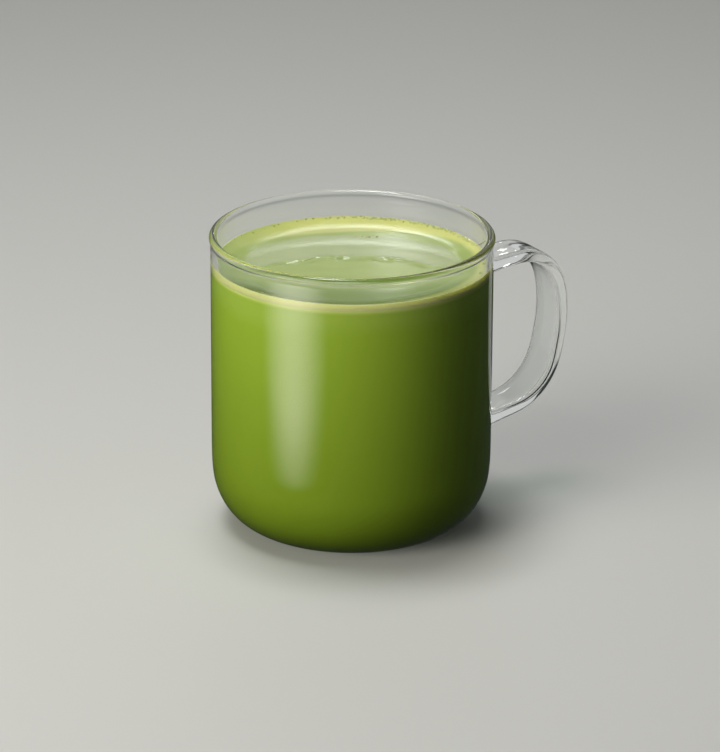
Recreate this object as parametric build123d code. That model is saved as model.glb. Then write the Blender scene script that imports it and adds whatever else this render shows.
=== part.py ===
"""Glass mug of matcha latte: a clear mug with a strap handle, the drink in it, and its layer of milk foam.

Millimetres, +Z up. The origin is the centre of the mug's flat underside, and the handle points along +X.
"""
import math
import os

from build123d import *

# Mug wall, as it is blown: straight sides on a soft rounded foot, with a fire-polished bead at the lip
# that is level with the inner wall and stands out past the outer one.
mug_height = 94.6
mug_radius = 44.0
wall = 2.15
floor_thickness = 3.4
foot_radius = 28.8
foot_corner_height = 19.9
bead_radius = 1.3

# Strap handle: a flattened glass rod, bent and fused to the wall at both ends.
strap_width = 14.4
strap_thickness = 4.2
strap_edge_radius = 2.0
weld_radius = 1.6
weld_inset = 1.4
strap_top_start = 76.9
strap_bends = [(70.3, 80.6, 14.4), (75.0, 58.2, 45.0), (69.2, 30.4, 21.0)]
strap_bottom_end = 25.1

# Filling: the drink up to the underside of the foam, and the foam up to the wall contact line.
foam_underside = 84.1
foam_contact = 86.15
collar_width = 8.85
collar_slope = 0.27
pool_level = 84.75

inner_radius = mug_radius - wall
inner_foot_radius = foot_radius - wall / 2
inner_corner_height = foot_corner_height - floor_thickness / 2
bead_center_radius = inner_radius + bead_radius
bead_center_height = mug_height - bead_radius


def quarter_corner(foot, radius, bottom, height):
    """Elliptical corner from the foot circle, level, up to the side, upright."""
    return EllipticalCenterArc(
        (foot, bottom + height), radius - foot, height, start_angle=-90, arc_size=90
    )


def mug_wall():
    """Body of revolution: outer wall and foot, lip bead, inner wall and floor."""
    bead_lean = math.degrees(math.acos((mug_radius - bead_center_radius) / bead_radius))
    bead_foot = bead_center_height - bead_radius * math.sin(math.radians(bead_lean))
    outline = [
        Line((0, 0), (foot_radius, 0)),
        quarter_corner(foot_radius, mug_radius, 0, foot_corner_height),
        Line((mug_radius, foot_corner_height), (mug_radius, bead_foot)),
        CenterArc((bead_center_radius, bead_center_height), bead_radius, -bead_lean, 180 + bead_lean),
        Line((inner_radius, bead_center_height), (inner_radius, floor_thickness + inner_corner_height)),
        quarter_corner(inner_foot_radius, inner_radius, floor_thickness, inner_corner_height),
        Line((inner_foot_radius, floor_thickness), (0, floor_thickness)),
        Line((0, floor_thickness), (0, 0)),
    ]
    return revolve(Plane.XZ * make_face(outline), Axis.Z)


def strap_handle():
    """Rounded strap swept along straight runs joined by tangent arcs, its ends inside the wall."""
    start_x = mug_radius - weld_inset
    corners = [(x, 0, z) for x, z, _ in strap_bends]
    radii = [radius for _, _, radius in strap_bends]
    points = [(start_x, 0, strap_top_start), *corners, (start_x, 0, strap_bottom_end)]
    path = FilletPolyline(*points, radius=radii)
    section_plane = Plane(origin=path @ 0, x_dir=(0, 1, 0), z_dir=path % 0)
    section = section_plane * RectangleRounded(strap_width, strap_thickness, strap_edge_radius)
    return sweep(section, path=path)


def weld_edges(mug):
    """Edges where the strap's skin meets the outside of the wall."""
    margin = 0.5
    half_width = strap_width / 2 + margin
    lowest = strap_bottom_end - strap_thickness - margin
    highest = strap_top_start + strap_thickness + margin
    wall_at_strap = math.sqrt(mug_radius**2 - (strap_width / 2) ** 2)
    at_wall = mug.edges().filter_by_position(Axis.X, wall_at_strap - margin, mug_radius + margin / 2)
    across = at_wall.filter_by_position(Axis.Y, -half_width, half_width)
    return across.filter_by_position(Axis.Z, lowest, highest)


def glass_mug():
    mug = mug_wall() + strap_handle()
    return fillet(weld_edges(mug), weld_radius)


def matcha_latte():
    """Drink: fills the inside of the mug up to the underside of the foam."""
    outline = [
        Line((0, floor_thickness), (inner_foot_radius, floor_thickness)),
        quarter_corner(inner_foot_radius, inner_radius, floor_thickness, inner_corner_height),
        Line((inner_radius, floor_thickness + inner_corner_height), (inner_radius, foam_underside)),
        Line((inner_radius, foam_underside), (0, foam_underside)),
        Line((0, foam_underside), (0, floor_thickness)),
    ]
    return revolve(Plane.XZ * make_face(outline), Axis.Z)


def milk_foam():
    """Foam layer: a collar that climbs to the wall and a lower, level pool inside it."""
    pool_radius = inner_radius - collar_width
    down_from_wall = (-1, -collar_slope)
    level = (-1, 0)
    outline = [
        Line((0, foam_underside), (inner_radius, foam_underside)),
        Line((inner_radius, foam_underside), (inner_radius, foam_contact)),
        Spline(
            (inner_radius, foam_contact),
            (pool_radius, pool_level),
            tangents=[down_from_wall, level],
        ),
        Line((pool_radius, pool_level), (0, pool_level)),
        Line((0, pool_level), (0, foam_underside)),
    ]
    return revolve(Plane.XZ * make_face(outline), Axis.Z)


os.makedirs("parts", exist_ok=True)
export_step(glass_mug(), "parts/glass_mug.step")
export_step(matcha_latte(), "parts/matcha_latte.step")
export_step(milk_foam(), "parts/milk_foam.step")
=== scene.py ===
"""Matcha latte in a clear glass mug: the looks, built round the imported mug, drink and foam.

Metres, +Z up, the handle along +X. Sections follow the object as it is put together.
"""
import math
import random

import bmesh
import bpy
from mathutils import Matrix, Vector, noise


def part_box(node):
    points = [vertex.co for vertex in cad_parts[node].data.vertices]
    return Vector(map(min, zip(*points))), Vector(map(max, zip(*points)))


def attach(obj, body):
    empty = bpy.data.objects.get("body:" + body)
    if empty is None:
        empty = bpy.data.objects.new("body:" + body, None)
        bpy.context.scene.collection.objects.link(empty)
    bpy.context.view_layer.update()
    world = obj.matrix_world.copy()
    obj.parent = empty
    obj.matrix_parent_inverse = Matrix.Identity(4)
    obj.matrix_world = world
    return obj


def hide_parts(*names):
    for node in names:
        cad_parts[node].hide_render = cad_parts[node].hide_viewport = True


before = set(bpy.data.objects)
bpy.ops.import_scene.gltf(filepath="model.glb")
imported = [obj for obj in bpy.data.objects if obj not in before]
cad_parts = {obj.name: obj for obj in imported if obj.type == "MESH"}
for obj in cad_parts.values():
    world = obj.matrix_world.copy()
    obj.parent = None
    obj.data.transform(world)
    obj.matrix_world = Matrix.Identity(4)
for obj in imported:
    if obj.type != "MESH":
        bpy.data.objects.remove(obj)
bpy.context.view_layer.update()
scene = bpy.context.scene
mm = 0.001
weld_gap = 0.0005 * mm

# ---- Studio -------------------------------------------------------------------------------------
# A pale table top under soft lights to the left, overhead, behind and to the right. Two small
# lights behind and one at the front left put the highlights on the lip and the foam. The camera
# looks down, with the handle turned back to the right.
handle_turn = math.radians(30.0)
camera_height_angle = math.radians(20.58)
camera_roll = math.radians(0.3)
camera_distance = 1.3907
lens_mm = 212.35
aim_right = 2.65 * mm
aim_down = 2.57 * mm
aim_height = 50 * mm

right_way = Vector((math.cos(handle_turn), -math.sin(handle_turn), 0))
away_way = Vector((math.sin(handle_turn), math.cos(handle_turn), 0))


def studio_place(right, away, up):
    """A place from how far right and away of the mug's middle it is, and how far up from its foot."""
    return right_way * right + away_way * away + Vector((0, 0, up))


def camera_matrix():
    """The camera's own axes and place, turned by its small roll."""
    forward = away_way * math.cos(camera_height_angle) - Vector((0, 0, math.sin(camera_height_angle)))
    up = right_way.cross(forward)
    aim = Vector((0, 0, aim_height)) + right_way * aim_right - up * aim_down
    turn = Matrix((right_way, up, -forward)).transposed().to_4x4()
    return Matrix.Translation(aim - forward * camera_distance) @ turn @ Matrix.Rotation(camera_roll, 4, "Z")


camera_data = bpy.data.cameras.new("studio_camera")
camera_data.lens = lens_mm
camera_data.sensor_width = 36
camera_data.clip_end = 20
camera = bpy.data.objects.new("studio_camera", camera_data)
camera.matrix_world = camera_matrix()
scene.collection.objects.link(camera)
scene.camera = camera
scene.view_settings.view_transform = "Standard"
scene.cycles.max_bounces = 16
scene.cycles.transmission_bounces = 12
scene.cycles.glossy_bounces = 6
scene.cycles.sample_clamp_indirect = 6


def new_material(name):
    """A node material with its Principled shader: (material, nodes, links, shader)."""
    material = bpy.data.materials.new(name)
    material.use_nodes = True
    tree = material.node_tree
    return material, tree.nodes, tree.links, tree.nodes["Principled BSDF"]


def new_piece(name, bm, material):
    """A finished smooth-shaded piece, at the origin, from a bmesh."""
    bmesh.ops.remove_doubles(bm, verts=bm.verts, dist=weld_gap)
    bmesh.ops.recalc_face_normals(bm, faces=bm.faces)
    mesh = bpy.data.meshes.new(name)
    bm.to_mesh(mesh)
    bm.free()
    mesh.materials.append(material)
    mesh.shade_smooth()
    piece = bpy.data.objects.new(name, mesh)
    scene.collection.objects.link(piece)
    return piece


def turned(degrees, distance, up):
    """A place round the mug, its angle counted from the camera's side towards the right."""
    angle = math.radians(degrees)
    return studio_place(math.sin(angle) * distance, -math.cos(angle) * distance, up)


mug_middle = Vector((0, 0, 60 * mm))


def soft_light(name, place, width, height, watts):
    """A rectangular studio light at a place, facing the mug."""
    data = bpy.data.lights.new(name, "AREA")
    data.shape = "RECTANGLE"
    data.size = width
    data.size_y = height
    data.energy = watts
    lamp = bpy.data.objects.new(name, data)
    lamp.location = place
    lamp.rotation_euler = (mug_middle - place).to_track_quat("-Z", "Y").to_euler()
    scene.collection.objects.link(lamp)


key_angle = -47
key_distance = 0.85
key_half_width = 0.51
key_half_height = 0.60
key_middle = 0.25
key_fade_low = -0.33
key_fade_high = -0.255
key_glow = 5.5

key_material, nodes, links, key_shader = new_material("key_panel_cloth")
panel_place = nodes.new("ShaderNodeTexCoord")
panel_parts = nodes.new("ShaderNodeSeparateXYZ")
links.new(panel_place.outputs["Object"], panel_parts.inputs["Vector"])
from_middle = nodes.new("ShaderNodeMath")
from_middle.operation = "ABSOLUTE"
links.new(panel_parts.outputs["X"], from_middle.inputs[0])


def smooth_range(value, low, high, top):
    """A smooth rise from 0 at low to top at high, of another node's output."""
    node = nodes.new("ShaderNodeMapRange")
    node.interpolation_type = "SMOOTHSTEP"
    node.inputs["From Min"].default_value = low
    node.inputs["From Max"].default_value = high
    node.inputs["To Max"].default_value = top
    links.new(value, node.inputs["Value"])
    return node.outputs["Result"]


across_glow = smooth_range(from_middle.outputs["Value"], key_half_width, 0, key_glow)
up_glow = smooth_range(panel_parts.outputs["Y"], key_fade_low - key_middle, key_fade_high - key_middle, 1)
glow = nodes.new("ShaderNodeMath")
glow.operation = "MULTIPLY"
links.new(across_glow, glow.inputs[0])
links.new(up_glow, glow.inputs[1])
links.new(glow.outputs["Value"], key_shader.inputs["Emission Strength"])
key_shader.inputs["Base Color"].default_value = (0, 0, 0, 1)
key_shader.inputs["Emission Color"].default_value = (1.0, 0.955, 0.87, 1)

key_bm = bmesh.new()
bmesh.ops.create_grid(key_bm, x_segments=1, y_segments=1, size=0.5)
bmesh.ops.scale(key_bm, verts=key_bm.verts, vec=(2 * key_half_width, 2 * key_half_height, 1))
key_panel = new_piece("key_panel", key_bm, key_material)
key_panel.location = turned(key_angle, key_distance, key_middle)
key_facing = Vector((0, 0, key_middle)) - key_panel.location
key_panel.rotation_euler = key_facing.to_track_quat("Z", "Y").to_euler()
key_panel.visible_camera = False
key_panel.visible_transmission = False
key_panel.visible_shadow = False
soft_light("top_light", studio_place(-0.10, 0.10, 0.95), width=0.34, height=0.30, watts=5.0)
soft_light("fill_light", turned(75, 1.4, 0.8), width=1.2, height=1.2, watts=0.35)
soft_light("back_light", turned(180, 1.5, 0.62), width=1.6, height=0.7, watts=2.0)
soft_light("rim_light", turned(180.8, 1.5, 0.98), width=0.08, height=0.26, watts=0.45)
soft_light("glint_light", turned(-36, 0.8, 1.0), width=0.5, height=0.04, watts=0.75)
soft_light("window_light", turned(178.9, 1.5, 0.578), width=0.026, height=0.018, watts=0.013)

table_half_width = 4.0
table_drop = 0.2 * mm
table_bm = bmesh.new()
bmesh.ops.create_grid(table_bm, x_segments=1, y_segments=1, size=table_half_width)
bmesh.ops.translate(table_bm, verts=table_bm.verts, vec=(0, 0, -table_drop))
table_material, nodes, links, table_shader = new_material("pale_table")
table_shader.inputs["Base Color"].default_value = (0.64, 0.64, 0.62, 1)
table_shader.inputs["Roughness"].default_value = 0.7
table_shader.inputs["Specular IOR Level"].default_value = 0.2
table_dark = nodes.new("ShaderNodeBsdfDiffuse")
table_dark.inputs["Color"].default_value = (0.09, 0.09, 0.085, 1)
table_path = nodes.new("ShaderNodeLightPath")
table_mix = nodes.new("ShaderNodeMixShader")
links.new(table_path.outputs["Diffuse Depth"], table_mix.inputs["Fac"])
links.new(table_shader.outputs["BSDF"], table_mix.inputs[1])
links.new(table_dark.outputs["BSDF"], table_mix.inputs[2])
links.new(table_mix.outputs["Shader"], nodes["Material Output"].inputs["Surface"])
table = new_piece("table_top", table_bm, table_material)
table.visible_glossy = False

world = bpy.data.worlds.new("studio_air")
world.use_nodes = True
studio_air = world.node_tree.nodes["Background"]
studio_air.inputs["Color"].default_value = (0.74, 0.88, 0.80, 1)
studio_air.inputs["Strength"].default_value = 0.04
scene.world = world

# ---- Mug ----------------------------------------------------------------------------------------
# Clear borosilicate glass, blown with straight sides and a rounded foot. Its lip is fire-polished
# to a bead and the flattened strap handle is fused on hot, so the two are one skin: a spun wall,
# the strap bridged into two holes in it, and the whole rounded off.
glass, nodes, links, glass_shader = new_material("clear_glass")
glass_shader.inputs["Base Color"].default_value = (0.97, 0.99, 0.975, 1)
glass_shader.inputs["Roughness"].default_value = 0.0
glass_shader.inputs["IOR"].default_value = 1.47
glass_shader.inputs["Transmission Weight"].default_value = 1.0
glass_place = nodes.new("ShaderNodeTexCoord")
draw_stretch = nodes.new("ShaderNodeMapping")
draw_stretch.inputs["Scale"].default_value = (70, 70, 14)
links.new(glass_place.outputs["Object"], draw_stretch.inputs["Vector"])
draw_lines = nodes.new("ShaderNodeTexNoise")
draw_lines.inputs["Scale"].default_value = 1.0
draw_lines.inputs["Detail"].default_value = 1.0
links.new(draw_stretch.outputs["Vector"], draw_lines.inputs["Vector"])
draw_bump = nodes.new("ShaderNodeBump")
draw_bump.inputs["Strength"].default_value = 0.05
draw_bump.inputs["Distance"].default_value = 1 * mm
links.new(draw_lines.outputs["Fac"], draw_bump.inputs["Height"])
links.new(draw_bump.outputs["Normal"], glass_shader.inputs["Normal"])
lamp_side = nodes.new("ShaderNodeBsdfTransparent")
lamp_side.inputs["Color"].default_value = (0.90, 0.93, 0.91, 1)
light_path = nodes.new("ShaderNodeLightPath")
lamp_mix = nodes.new("ShaderNodeMixShader")
soft_path = nodes.new("ShaderNodeMath")
soft_path.operation = "MAXIMUM"
links.new(light_path.outputs["Is Shadow Ray"], soft_path.inputs[0])
links.new(light_path.outputs["Is Diffuse Ray"], soft_path.inputs[1])
links.new(soft_path.outputs["Value"], lamp_mix.inputs["Fac"])
links.new(glass_shader.outputs["BSDF"], lamp_mix.inputs[1])
links.new(lamp_side.outputs["BSDF"], lamp_mix.inputs[2])
links.new(lamp_mix.outputs["Shader"], nodes["Material Output"].inputs["Surface"])

mug_low, mug_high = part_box("glass_mug")
drink_low, drink_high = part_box("matcha_latte")
inner_radius = drink_high.x
floor_height = drink_low.z
outer_radius = 44.0 * mm
corner_steps = 7
outer_foot = 28.8 * mm
outer_corner = 19.9 * mm
inner_foot = 27.725 * mm
inner_corner = 18.2 * mm
bead_radius = (-mug_low.x - inner_radius) / 2
bead_middle = mug_high.z - bead_radius
bead_start = math.radians(-46)
bead_steps = 9
bead_step = math.radians(226 / bead_steps)
around = 48
top_weld = (73.2 * mm, 80.6 * mm)
low_weld = (21.4 * mm, 29.2 * mm)
wall_rows = [*low_weld, 40.0 * mm, 51.0 * mm, 62.0 * mm, *top_weld, 86.5 * mm, 91.0 * mm]
weld_faces = 3
wall_tolerance = 1 * mm
strap_half_width = 7.31 * mm
strap_half_thickness = 2.1 * mm
strap_flat_share = 0.63
strap_root = 42.6 * mm
strap_ends = (76.9 * mm, 25.1 * mm)
# each bend's corner, out and up, and its radius, in mm
strap_bends = ((70.3, 80.6, 14.4), (75.0, 58.2, 45.0), (69.2, 30.4, 21.0))
strap_step = 4 * mm
strap_least_step = 0.3 * strap_step
weld_reach = 4.6 * mm


def quarter_corner(foot, radius, bottom, height, steps):
    """Points of an elliptical corner, from level at the foot up to upright at the side."""
    points = []
    for step in range(steps + 1):
        angle = math.pi / 2 * step / steps
        points.append((foot + (radius - foot) * math.sin(angle), bottom + height * (1 - math.cos(angle))))
    return points


def spun(outline, steps, start=0.0):
    """A bmesh of revolution about Z from an outline of (radius, height) points."""
    bm = bmesh.new()
    ring = [bm.verts.new((radius, 0, height)) for radius, height in outline]
    edges = [bm.edges.new(pair) for pair in zip(ring, ring[1:])]
    bmesh.ops.rotate(bm, verts=ring, cent=(0, 0, 0), matrix=Matrix.Rotation(start, 3, "Z"))
    bmesh.ops.spin(
        bm, geom=ring + edges, cent=(0, 0, 0), axis=(0, 0, 1), angle=math.tau, steps=steps, use_merge=True
    )
    bmesh.ops.remove_doubles(bm, verts=bm.verts, dist=weld_gap)
    return bm


def ring_swell(angle):
    """How much larger to make a ring with points at this angle, which rounding draws in."""
    return 6 / (4 + 2 * math.cos(angle))


def mug_outline():
    """The wall's section: out along the foot, up the side, round the lip bead and down inside."""
    points = [(0, 0), (outer_foot * 0.5, 0), (outer_foot * 0.9, 0)]
    points += quarter_corner(outer_foot, outer_radius, 0, outer_corner, corner_steps)[:-1]
    points += [(outer_radius, row) for row in wall_rows]
    bead_reach = ring_swell(bead_step) * bead_radius
    for step in range(bead_steps + 1):
        angle = bead_start + bead_step * step
        across = inner_radius + bead_radius + bead_reach * math.cos(angle)
        points.append((across, bead_middle + bead_reach * math.sin(angle)))
    points += [(inner_radius, row) for row in reversed(wall_rows[1:])]
    points += quarter_corner(inner_foot, inner_radius, floor_height, inner_corner, corner_steps)[::-1]
    return points + [(inner_foot * 0.9, floor_height), (inner_foot * 0.5, floor_height), (0, floor_height)]


def strap_line():
    """The strap's middle line in the XZ plane: straight runs joined by tangent arcs."""
    corners = [Vector((strap_root, strap_ends[0]))]
    corners += [Vector((x * mm, z * mm)) for x, z, _ in strap_bends]
    corners += [Vector((strap_root, strap_ends[1]))]
    points = [corners[0] + (corners[1] - corners[0]).normalized() * weld_reach]
    for before, corner, after, bend in zip(corners, corners[1:], corners[2:], strap_bends):
        ahead = (corner - before).normalized()
        onward = (after - corner).normalized()
        turn = math.atan2(ahead.cross(onward), ahead.dot(onward))
        radius = bend[2] * mm
        arc_start = corner - ahead * radius * math.tan(abs(turn) / 2)
        arc_middle = arc_start + Vector((-ahead.y, ahead.x)) * math.copysign(radius, turn)
        steps = max(2, round(radius * abs(turn) / strap_step))
        for step in range(steps + 1):
            spot = arc_middle + Matrix.Rotation(turn * step / steps, 2) @ (arc_start - arc_middle)
            if (spot - points[-1]).dot(ahead) > strap_least_step or step > 1:
                points.append(spot)
    return points + [corners[-1] + (corners[-2] - corners[-1]).normalized() * weld_reach]


def strap_ring(bm, spot, way):
    """Eight points round the strap at a spot, square to the way it runs."""
    across = Vector((-way.y, way.x)) * strap_half_thickness
    ring = []
    flat = strap_flat_share
    for side, places in ((1, (-1, -flat, flat, 1)), (-1, (1, flat, -flat, -1))):
        for place in places:
            on_face = spot + across * side
            ring.append(bm.verts.new((on_face.x, place * strap_half_width, on_face.y)))
    return ring


def loop_edges(bm, ring):
    """The closed loop of edges through a ring of points."""
    pairs = zip(ring, ring[1:] + ring[:1])
    return [bm.edges.get(pair) or bm.edges.new(pair) for pair in pairs]


def open_weld(bm, low, high):
    """The edges of a hole made in the outer wall, where an end of the strap is welded on."""
    half_angle = math.tau / around * (weld_faces / 2 + 0.1)
    patch = []
    for face in bm.faces:
        middle = face.calc_center_median()
        on_wall = Vector((middle.x, middle.y)).length > outer_radius - wall_tolerance
        if on_wall and abs(math.atan2(middle.y, middle.x)) < half_angle and low < middle.z < high:
            patch.append(face)
    hole = {edge for face in patch for edge in face.edges}
    hole = [edge for edge in hole if sum(face in patch for face in edge.link_faces) == 1]
    bmesh.ops.delete(bm, geom=patch, context="FACES")
    return hole


wall_swell = ring_swell(math.tau / around)
swelled_outline = [(radius * wall_swell, height) for radius, height in mug_outline()]
mug_bm = spun(swelled_outline, around, math.tau / around / 2)
top_hole = open_weld(mug_bm, *top_weld)
low_hole = open_weld(mug_bm, *low_weld)
line = strap_line()
loops = []
for index, spot in enumerate(line):
    way = (line[min(index + 1, len(line) - 1)] - line[max(index - 1, 0)]).normalized()
    loops.append(loop_edges(mug_bm, strap_ring(mug_bm, spot, way)))
for first, second in zip([top_hole] + loops, loops + [low_hole]):
    bmesh.ops.bridge_loops(mug_bm, edges=first + second)
mug = new_piece("mug_glass", mug_bm, glass)
rounding = mug.modifiers.new("rounding", "SUBSURF")
rounding.levels = 2
rounding.render_levels = 2
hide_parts("glass_mug")
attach(mug, "root")

# ---- Drink --------------------------------------------------------------------------------------
# Matcha whisked into hot milk: an opaque leaf green, deeper low down and pale in the last of it
# under the foam. It wets the glass, so its side reaches just into the wall with no air between.
wall_reach = 0.12 * mm
settling_depth = 1.6 * mm
settling_over = 0.4 * mm
drink_corner_steps = 20
drink_around = 192
swirl_share = 0.10
deep_green = (0.190, 0.290, 0.009, 1)
leaf_green = (0.380, 0.560, 0.044, 1)
leaf_green_height = 0.94
light_green = (0.430, 0.610, 0.075, 1)
settling_colour = (0.850, 0.930, 0.300, 1)
sharp_angle = math.radians(50)
drink_floor = floor_height - wall_reach
drink_outline = [(0, drink_floor)]
drink_radius = inner_radius + wall_reach
drink_outline += quarter_corner(inner_foot, drink_radius, drink_floor, inner_corner, drink_corner_steps)
drink_outline += [(drink_radius, drink_high.z), (0, drink_high.z)]


def mixed(factor, first, second):
    """A colour mix node's output: each side is a colour or another node's output."""
    mix = nodes.new("ShaderNodeMix")
    mix.data_type = "RGBA"
    links.new(factor, mix.inputs["Factor"])
    for socket, side in (("A", first), ("B", second)):
        target = next(s for s in mix.inputs if s.name == socket and s.type == "RGBA")
        if isinstance(side, tuple):
            target.default_value = side
        else:
            links.new(side, target)
    return next(s for s in mix.outputs if s.type == "RGBA")


drink_material, nodes, links, drink_shader = new_material("green_drink")
place = nodes.new("ShaderNodeTexCoord")
height_parts = nodes.new("ShaderNodeSeparateXYZ")
links.new(place.outputs["Object"], height_parts.inputs["Vector"])
height_ramp = nodes.new("ShaderNodeMapRange")
height_ramp.inputs["From Min"].default_value = 0.0
height_ramp.inputs["From Max"].default_value = drink_high.z
links.new(height_parts.outputs["Z"], height_ramp.inputs["Value"])
swirl = nodes.new("ShaderNodeTexNoise")
swirl.inputs["Scale"].default_value = 38.0
swirl.inputs["Detail"].default_value = 3.0
links.new(place.outputs["Object"], swirl.inputs["Vector"])
swirled = nodes.new("ShaderNodeMath")
swirled.operation = "MULTIPLY_ADD"
swirled.inputs[1].default_value = swirl_share
links.new(swirl.outputs["Fac"], swirled.inputs[0])
links.new(height_ramp.outputs["Result"], swirled.inputs[2])
drink_ramp = nodes.new("ShaderNodeValToRGB")
drink_ramp.color_ramp.elements[0].color = deep_green
drink_ramp.color_ramp.elements[1].color = light_green
drink_ramp.color_ramp.elements.new(leaf_green_height).color = leaf_green
links.new(swirled.outputs["Value"], drink_ramp.inputs["Fac"])
settling_from = drink_high.z - settling_depth
settling = smooth_range(height_parts.outputs["Z"], settling_from, drink_high.z + settling_over, 1)
settled = mixed(settling, drink_ramp.outputs["Color"], settling_colour)
links.new(settled, drink_shader.inputs["Base Color"])
drink_shader.inputs["Roughness"].default_value = 0.55
drink_shader.inputs["Specular IOR Level"].default_value = 0.1
drink = new_piece("drink", spun(drink_outline, drink_around), drink_material)
drink.data.set_sharp_from_angle(angle=sharp_angle)
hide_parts("matcha_latte")
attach(drink, "root")

# ---- Foam ---------------------------------------------------------------------------------------
# A thin layer of fine milk foam. It climbs the wall in a pale collar, and inside the collar a wet
# skin has drawn across the pool and wrinkled along its front edge.
foam_low, foam_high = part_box("milk_foam")
collar_inner = 33.0 * mm
pool_level = 84.75 * mm
collar_rise = 1.4 * mm
collar_curve = 1.7
film_half_width = 34 * mm
film_half_depth = 27 * mm
ring_inner_side = 38.5 * mm
ring_inner_back = 30.0 * mm
ring_edge_in = 1.2 * mm
ring_edge_out = 1.6 * mm
ring_curve = 2.5
narrow_right, narrow_away = -0.17, 0.985
# painted light and shade: the collar's pale colour is kept at the back and right and fades to green at the
# front left
painted_light_right, painted_light_away = 0.75, 0.80
painted_light_from, painted_light_to = -1.1, 0.9
# painted shade: the pool turns darker green towards the front
front_shade_starts, front_shade_full = 8 * mm, 30 * mm
fold_shade_whole, fold_shade_gone = 26 * mm, 31 * mm
side_edge = 0.1 * mm
# painted shade: darker green along the front side of each fold of the skin, fading out towards the collar
fold_shade_strength = 0.85
shade_behind = 0.55 * mm
# the skin's relief, in mm
ridge_height = 0.15
hollow_depth = 0.16
ripple_height = 0.003
swell_height = 0.012
grain_height = 0.02
hollow_before = 2.6 * mm
hollow_width = 1.9 * mm
ripple_pitch = 1.9
ripple_reach = 7 * mm


def ease(low, high, value):
    """0 below low, 1 above high, and a smooth rise between."""
    share = min(1, max(0, (value - low) / (high - low)))
    return share * share * (3 - 2 * share)


def cup_place(point):
    """How far right, away and out from the mug's middle a point of the foam lies."""
    spot = Vector((point.x, point.y, 0))
    return spot.dot(right_way), spot.dot(away_way), spot.length


def wavering(right, pitch, seed, layer):
    """A smooth uneven value across the cup, between about -1 and 1."""
    return noise.noise(Vector((right / mm * pitch, seed, layer)))


def rolling(x, y, pitch, layer):
    """A smooth uneven value all over the foam, between about -1 and 1."""
    return noise.noise(Vector((x / mm * pitch, y / mm * pitch, layer)))


def crease_line(right):
    """How far away the skin's front edge lies, at a place across the cup."""
    arch = 6.5 - 0.0125 * (right / mm) ** 2
    wobble = 1.5 * wavering(right, 0.17, 3.1, 0.4)
    return (arch + wobble + 0.6 * wavering(right, 0.55, 7.7, 1.9)) * mm


def skin_share(right, away):
    """1 on the skin, 0 on the bare foam in front of it and round it."""
    wave = 0.05 * rolling(right, away, 0.12, 5.0)
    rim = math.hypot(right / film_half_width, away / film_half_depth) + wave
    return (1 - ease(0.95, 1.04, rim)) * ease(-0.7 * mm, 0.4 * mm, away - crease_line(right))


# each fold's distance behind the edge and its width, in mm, its share of the height, and its seed
folds = ((0.0, 0.6, 1.0, 1.0), (-1.5, 0.65, 0.7, 5.0), (1.4, 0.6, 0.45, 8.0), (-3.6, 1.1, 0.5, 13.0))


def fold_share(right, from_crease):
    """How much the skin is folded up at a place, from its distance to the skin's front edge."""
    total = 0.0
    for offset, width, share, seed in folds:
        kept = share * ease(-0.25, 0.45, wavering(right, 0.11, seed, 9.0))
        bend = 0.7 * wavering(right, 0.30, seed, 4.0)
        total += kept * math.exp(-(((from_crease / mm - offset - bend) / width) ** 2))
    return total


def foam_top(point):
    """Height of the foam's top: collar, skin, the wrinkles along its edge and a slow swell."""
    right, away, out = cup_place(point)
    collar = max(0, (out - collar_inner) / (inner_radius - collar_inner))
    height = pool_level + collar_rise * collar**collar_curve
    from_crease = away - crease_line(right)
    in_pool = 1 - ease(0.7, 0.98, out / collar_inner)
    ridge = ridge_height * fold_share(right, from_crease)
    hollow = -hollow_depth * math.exp(-(((from_crease + hollow_before) / hollow_width) ** 2))
    hollow *= ease(-0.1, 0.4, wavering(right, 0.16, 0.3, 9.0))
    ripple = ripple_height * math.sin(from_crease / mm * ripple_pitch)
    ripple *= math.exp(-abs(from_crease) / ripple_reach)
    slow_swell = swell_height * rolling(point.x, point.y, 0.06, 2.0)
    grain = grain_height * rolling(point.x, point.y, 0.8, 6.0) * collar
    return height + ((ridge + hollow + ripple) * in_pool + slow_swell + grain) * mm


foam_rings = 110
foam_around = 288
foam_radius = inner_radius + wall_reach
foam_outline = [(foam_radius * step / foam_rings, pool_level) for step in range(foam_rings + 1)]
foam_outline += [(foam_radius, foam_low.z), (0, foam_low.z)]
foam_bm = spun(foam_outline, foam_around)
for vert in foam_bm.verts:
    if vert.co.z > (foam_low.z + pool_level) / 2:
        vert.co.z = min(foam_top(vert.co), foam_high.z)

foam_material, nodes, links, foam_shader = new_material("milk_foam")
place = nodes.new("ShaderNodeTexCoord")
streak = nodes.new("ShaderNodeTexNoise")
streak.inputs["Scale"].default_value = 120.0
streak.inputs["Detail"].default_value = 4.0
streak.inputs["Distortion"].default_value = 0.8
streak_way = nodes.new("ShaderNodeMapping")
streak_way.vector_type = "TEXTURE"
streak_way.inputs["Rotation"].default_value = (0, 0, -handle_turn)
streak_way.inputs["Scale"].default_value = (2.6, 1.0, 1.0)
links.new(place.outputs["Object"], streak_way.inputs["Vector"])
links.new(streak_way.outputs["Vector"], streak.inputs["Vector"])

def painted(name):
    """The output of a mask that is kept on the foam's points."""
    mask = nodes.new("ShaderNodeAttribute")
    mask.attribute_name = name
    return mask.outputs["Fac"]


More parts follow.
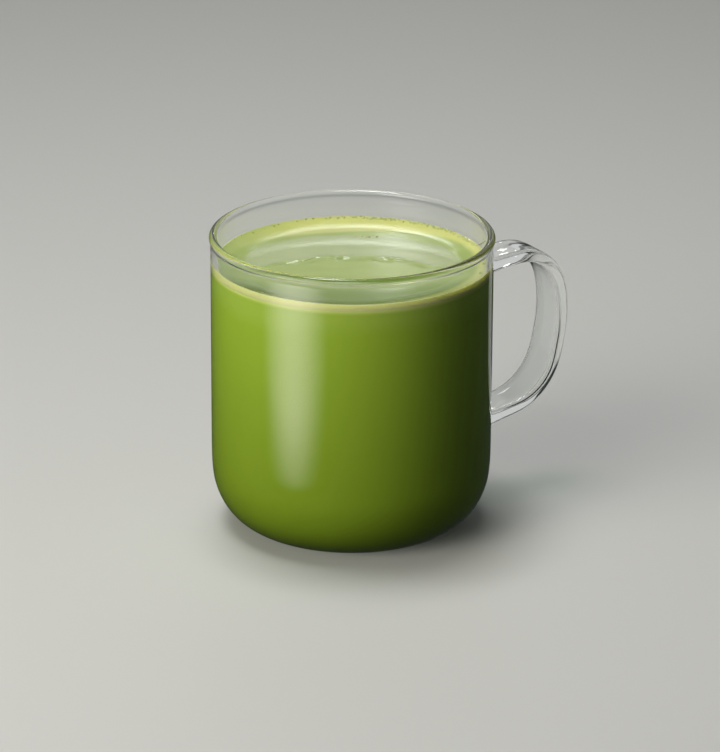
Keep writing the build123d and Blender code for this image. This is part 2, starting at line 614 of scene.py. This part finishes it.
bare_colours = (0.335, 0.440, 0.100, 1), (0.430, 0.535, 0.160, 1)
skin_colours = (0.380, 0.465, 0.190, 1), (0.510, 0.585, 0.300, 1)
collar_colours = (0.600, 0.635, 0.165, 1), (0.740, 0.765, 0.270, 1)
# pale foam at the wall, partly painted light: paler than the collar's top, standing in for light that
# shines through the foam
side_colours_and_glow = (0.900, 0.950, 0.340, 1), (0.930, 0.970, 0.420, 1)
# painted shade in the creases of the skin's folds
fold_shade_colour = (0.210, 0.300, 0.050, 1)
# painted shade for the front of the pool
front_shade_colour = (0.190, 0.280, 0.030, 1)
streaks = streak.outputs["Fac"]
# the collar mask holds both the collar and its painted light and shade
collar_and_painted_light_mask = painted("collar")
pool = mixed(painted("skin"), mixed(streaks, *bare_colours), mixed(streaks, *skin_colours))
# painted shade: darker green in the folds' creases and towards the front of the pool
pool = mixed(painted("front"), mixed(painted("fold"), pool, fold_shade_colour), front_shade_colour)
topped = mixed(collar_and_painted_light_mask, pool, mixed(streaks, *collar_colours))
foam_colour = mixed(painted("side"), topped, mixed(streaks, *side_colours_and_glow))
links.new(foam_colour, foam_shader.inputs["Base Color"])
gloss = nodes.new("ShaderNodeMapRange")
gloss.inputs["To Min"].default_value = 0.125
gloss.inputs["To Max"].default_value = 0.16
links.new(collar_and_painted_light_mask, gloss.inputs["Value"])
links.new(gloss.outputs["Result"], foam_shader.inputs["Roughness"])
bubble_grain = nodes.new("ShaderNodeTexVoronoi")
bubble_grain.inputs["Scale"].default_value = 1600.0
links.new(place.outputs["Object"], bubble_grain.inputs["Vector"])
foam_bump = nodes.new("ShaderNodeBump")
foam_bump.inputs["Strength"].default_value = 0.12
foam_bump.inputs["Distance"].default_value = 0.2 * mm
collar_grain = nodes.new("ShaderNodeMath")
collar_grain.operation = "MULTIPLY"
links.new(bubble_grain.outputs["Distance"], collar_grain.inputs[0])
links.new(collar_and_painted_light_mask, collar_grain.inputs[1])
links.new(collar_grain.outputs["Value"], foam_bump.inputs["Height"])
links.new(foam_bump.outputs["Normal"], foam_shader.inputs["Normal"])
foam_shader.inputs["IOR"].default_value = 1.34
foam_shader.inputs["Subsurface Weight"].default_value = 0.6
foam_shader.inputs["Subsurface Radius"].default_value = (1.0, 1.0, 0.45)
foam_shader.inputs["Subsurface Scale"].default_value = 3.2 * mm
foam = new_piece("foam", foam_bm, foam_material)
foam.data.set_sharp_from_angle(angle=sharp_angle)
marks = {name: [] for name in ("skin", "collar", "side", "front", "fold")}
for vert in foam.data.vertices:
    right, away, out = cup_place(vert.co)
    to_back = max(0, (narrow_away * away + narrow_right * right) / max(out, mm))
    ring_inner = ring_inner_side - (ring_inner_side - ring_inner_back) * to_back**ring_curve
    # painted light and shade: how much of the collar's pale colour is kept, by which side of the cup the
    # point is on
    painted_light = ease(painted_light_from, painted_light_to, (painted_light_away * away + painted_light_right * right) / max(out, mm))
    # painted shade: the crease in front of each fold is darker green
    behind_fold = away - crease_line(right) + shade_behind
    folded = fold_shade_strength * fold_share(right, behind_fold)
    marks["skin"].append(skin_share(right, away))
    marks["collar"].append(painted_light * ease(ring_inner - ring_edge_in, ring_inner + ring_edge_out, out))
    # partly painted light: the foam's side at the wall is painted paler
    marks["side"].append(ease(inner_radius - side_edge, inner_radius, out))
    # painted shade: darker green towards the front of the pool
    marks["front"].append(ease(front_shade_starts, front_shade_full, -away))
    marks["fold"].append(folded * (1 - ease(fold_shade_whole, fold_shade_gone, out)))
for name, values in marks.items():
    foam.data.attributes.new(name, "FLOAT", "POINT").data.foreach_set("value", values)
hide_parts("milk_foam")
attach(foam, "root")

# ---- Bubbles ------------------------------------------------------------------------------------
# Clear domes left by the whisk: a loose string of them where the foam meets the glass, thickest at
# the back, and a few by themselves in the pool.
rng = random.Random(4)
bubble_bm = bmesh.new()
bubble_lift = 0.1
back_bubbles = 150
wall_bubbles = 90
pool_bubbles = 9
# least and most, in mm: gap to the wall or distance out, then radius
back_gap, back_size = (0.25, 1.5), (0.12, 0.36)
wall_gap, wall_size = (0.2, 0.7), (0.08, 0.22)
pool_out, pool_size = (25.5, 28.0), (0.20, 0.40)
# middle and spread of the angle from the far side of the cup
back_angle = (0.5, 0.55)
pool_angle = (0.18, 0.10)


def add_bubble(angle, out, radius):
    """One bubble, half sunk in the foam, at an angle from the far side of the cup."""
    spot = right_way * math.sin(angle) * out + away_way * math.cos(angle) * out
    spot.z = foam_top(spot) + radius * bubble_lift
    bmesh.ops.create_icosphere(bubble_bm, subdivisions=2, radius=radius, matrix=Matrix.Translation(spot))


for _ in range(back_bubbles):
    angle = rng.gauss(*back_angle)
    out = inner_radius - rng.uniform(*back_gap) * mm
    add_bubble(angle, out, rng.uniform(*back_size) * mm)
for _ in range(wall_bubbles):
    angle = rng.uniform(-math.pi, math.pi)
    out = inner_radius - rng.uniform(*wall_gap) * mm
    add_bubble(angle, out, rng.uniform(*wall_size) * mm)
for _ in range(pool_bubbles):
    angle = rng.gauss(*pool_angle)
    out = rng.uniform(*pool_out) * mm
    add_bubble(angle, out, rng.uniform(*pool_size) * mm)
bubble_material, nodes, links, bubble_shader = new_material("bubble_skin")
bubble_shader.inputs["Base Color"].default_value = (0.50, 0.56, 0.21, 1)
bubble_shader.inputs["Roughness"].default_value = 0.08
bubble_shader.inputs["Coat Weight"].default_value = 0.6
bubbles = new_piece("foam_bubbles", bubble_bm, bubble_material)
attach(bubbles, "root")
